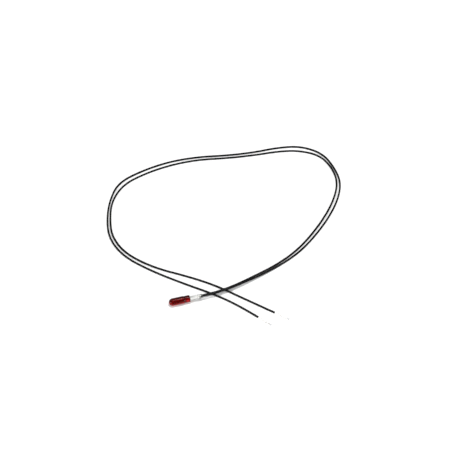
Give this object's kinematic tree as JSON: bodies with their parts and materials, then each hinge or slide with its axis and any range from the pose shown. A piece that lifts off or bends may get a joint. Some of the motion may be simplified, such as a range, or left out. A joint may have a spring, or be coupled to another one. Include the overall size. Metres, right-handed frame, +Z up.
{
  "type": "miniature incandescent bulb",
  "caption": "Miniature red glass filament lamp with sleeved, insulated wire leads whose bare ends are tinned.",
  "frame": {"origin": "on the surface it lies on, under the middle of the glass and its sleeves (leads not counted)", "axes": "+X along the lamp's axis from the dome towards the leads, +Z up, +Y across the lamp, from lead a's side to lead b's"},
  "size_m": [0.1078, 0.1068, 0.0032],
  "materials": {
    "red_glass": "red lacquered clear glass, glossy",
    "bead_glass": "clear sealing glass",
    "tungsten": "drawn tungsten wire, dull grey",
    "lead_in_alloy": "drawn sealing-alloy wire",
    "solder": "set soft solder, satin",
    "tinned_copper": "tinned fine copper strands",
    "sleeve_plastic": "translucent white tubing",
    "black_insulation": "smooth black flexible insulation, satin"
  },
  "bodies": {
    "root": {"glass_envelope": "red_glass", "stem_bead": "bead_glass", "filament": "tungsten", "lead_in_wire_a": "lead_in_alloy", "lead_in_wire_b": "lead_in_alloy", "solder_joint_a": "solder", "solder_joint_b": "solder", "lead_core_a": "tinned_copper", "lead_core_b": "tinned_copper", "insulating_sleeve_a": "sleeve_plastic", "insulating_sleeve_b": "sleeve_plastic", "insulated_lead_a": "black_insulation", "insulated_lead_b": "black_insulation", "bare_tail_a": "tinned_copper", "bare_tail_b": "tinned_copper", "tinned_tip_a": "solder", "tinned_tip_b": "solder"}
  },
  "joints": []
}
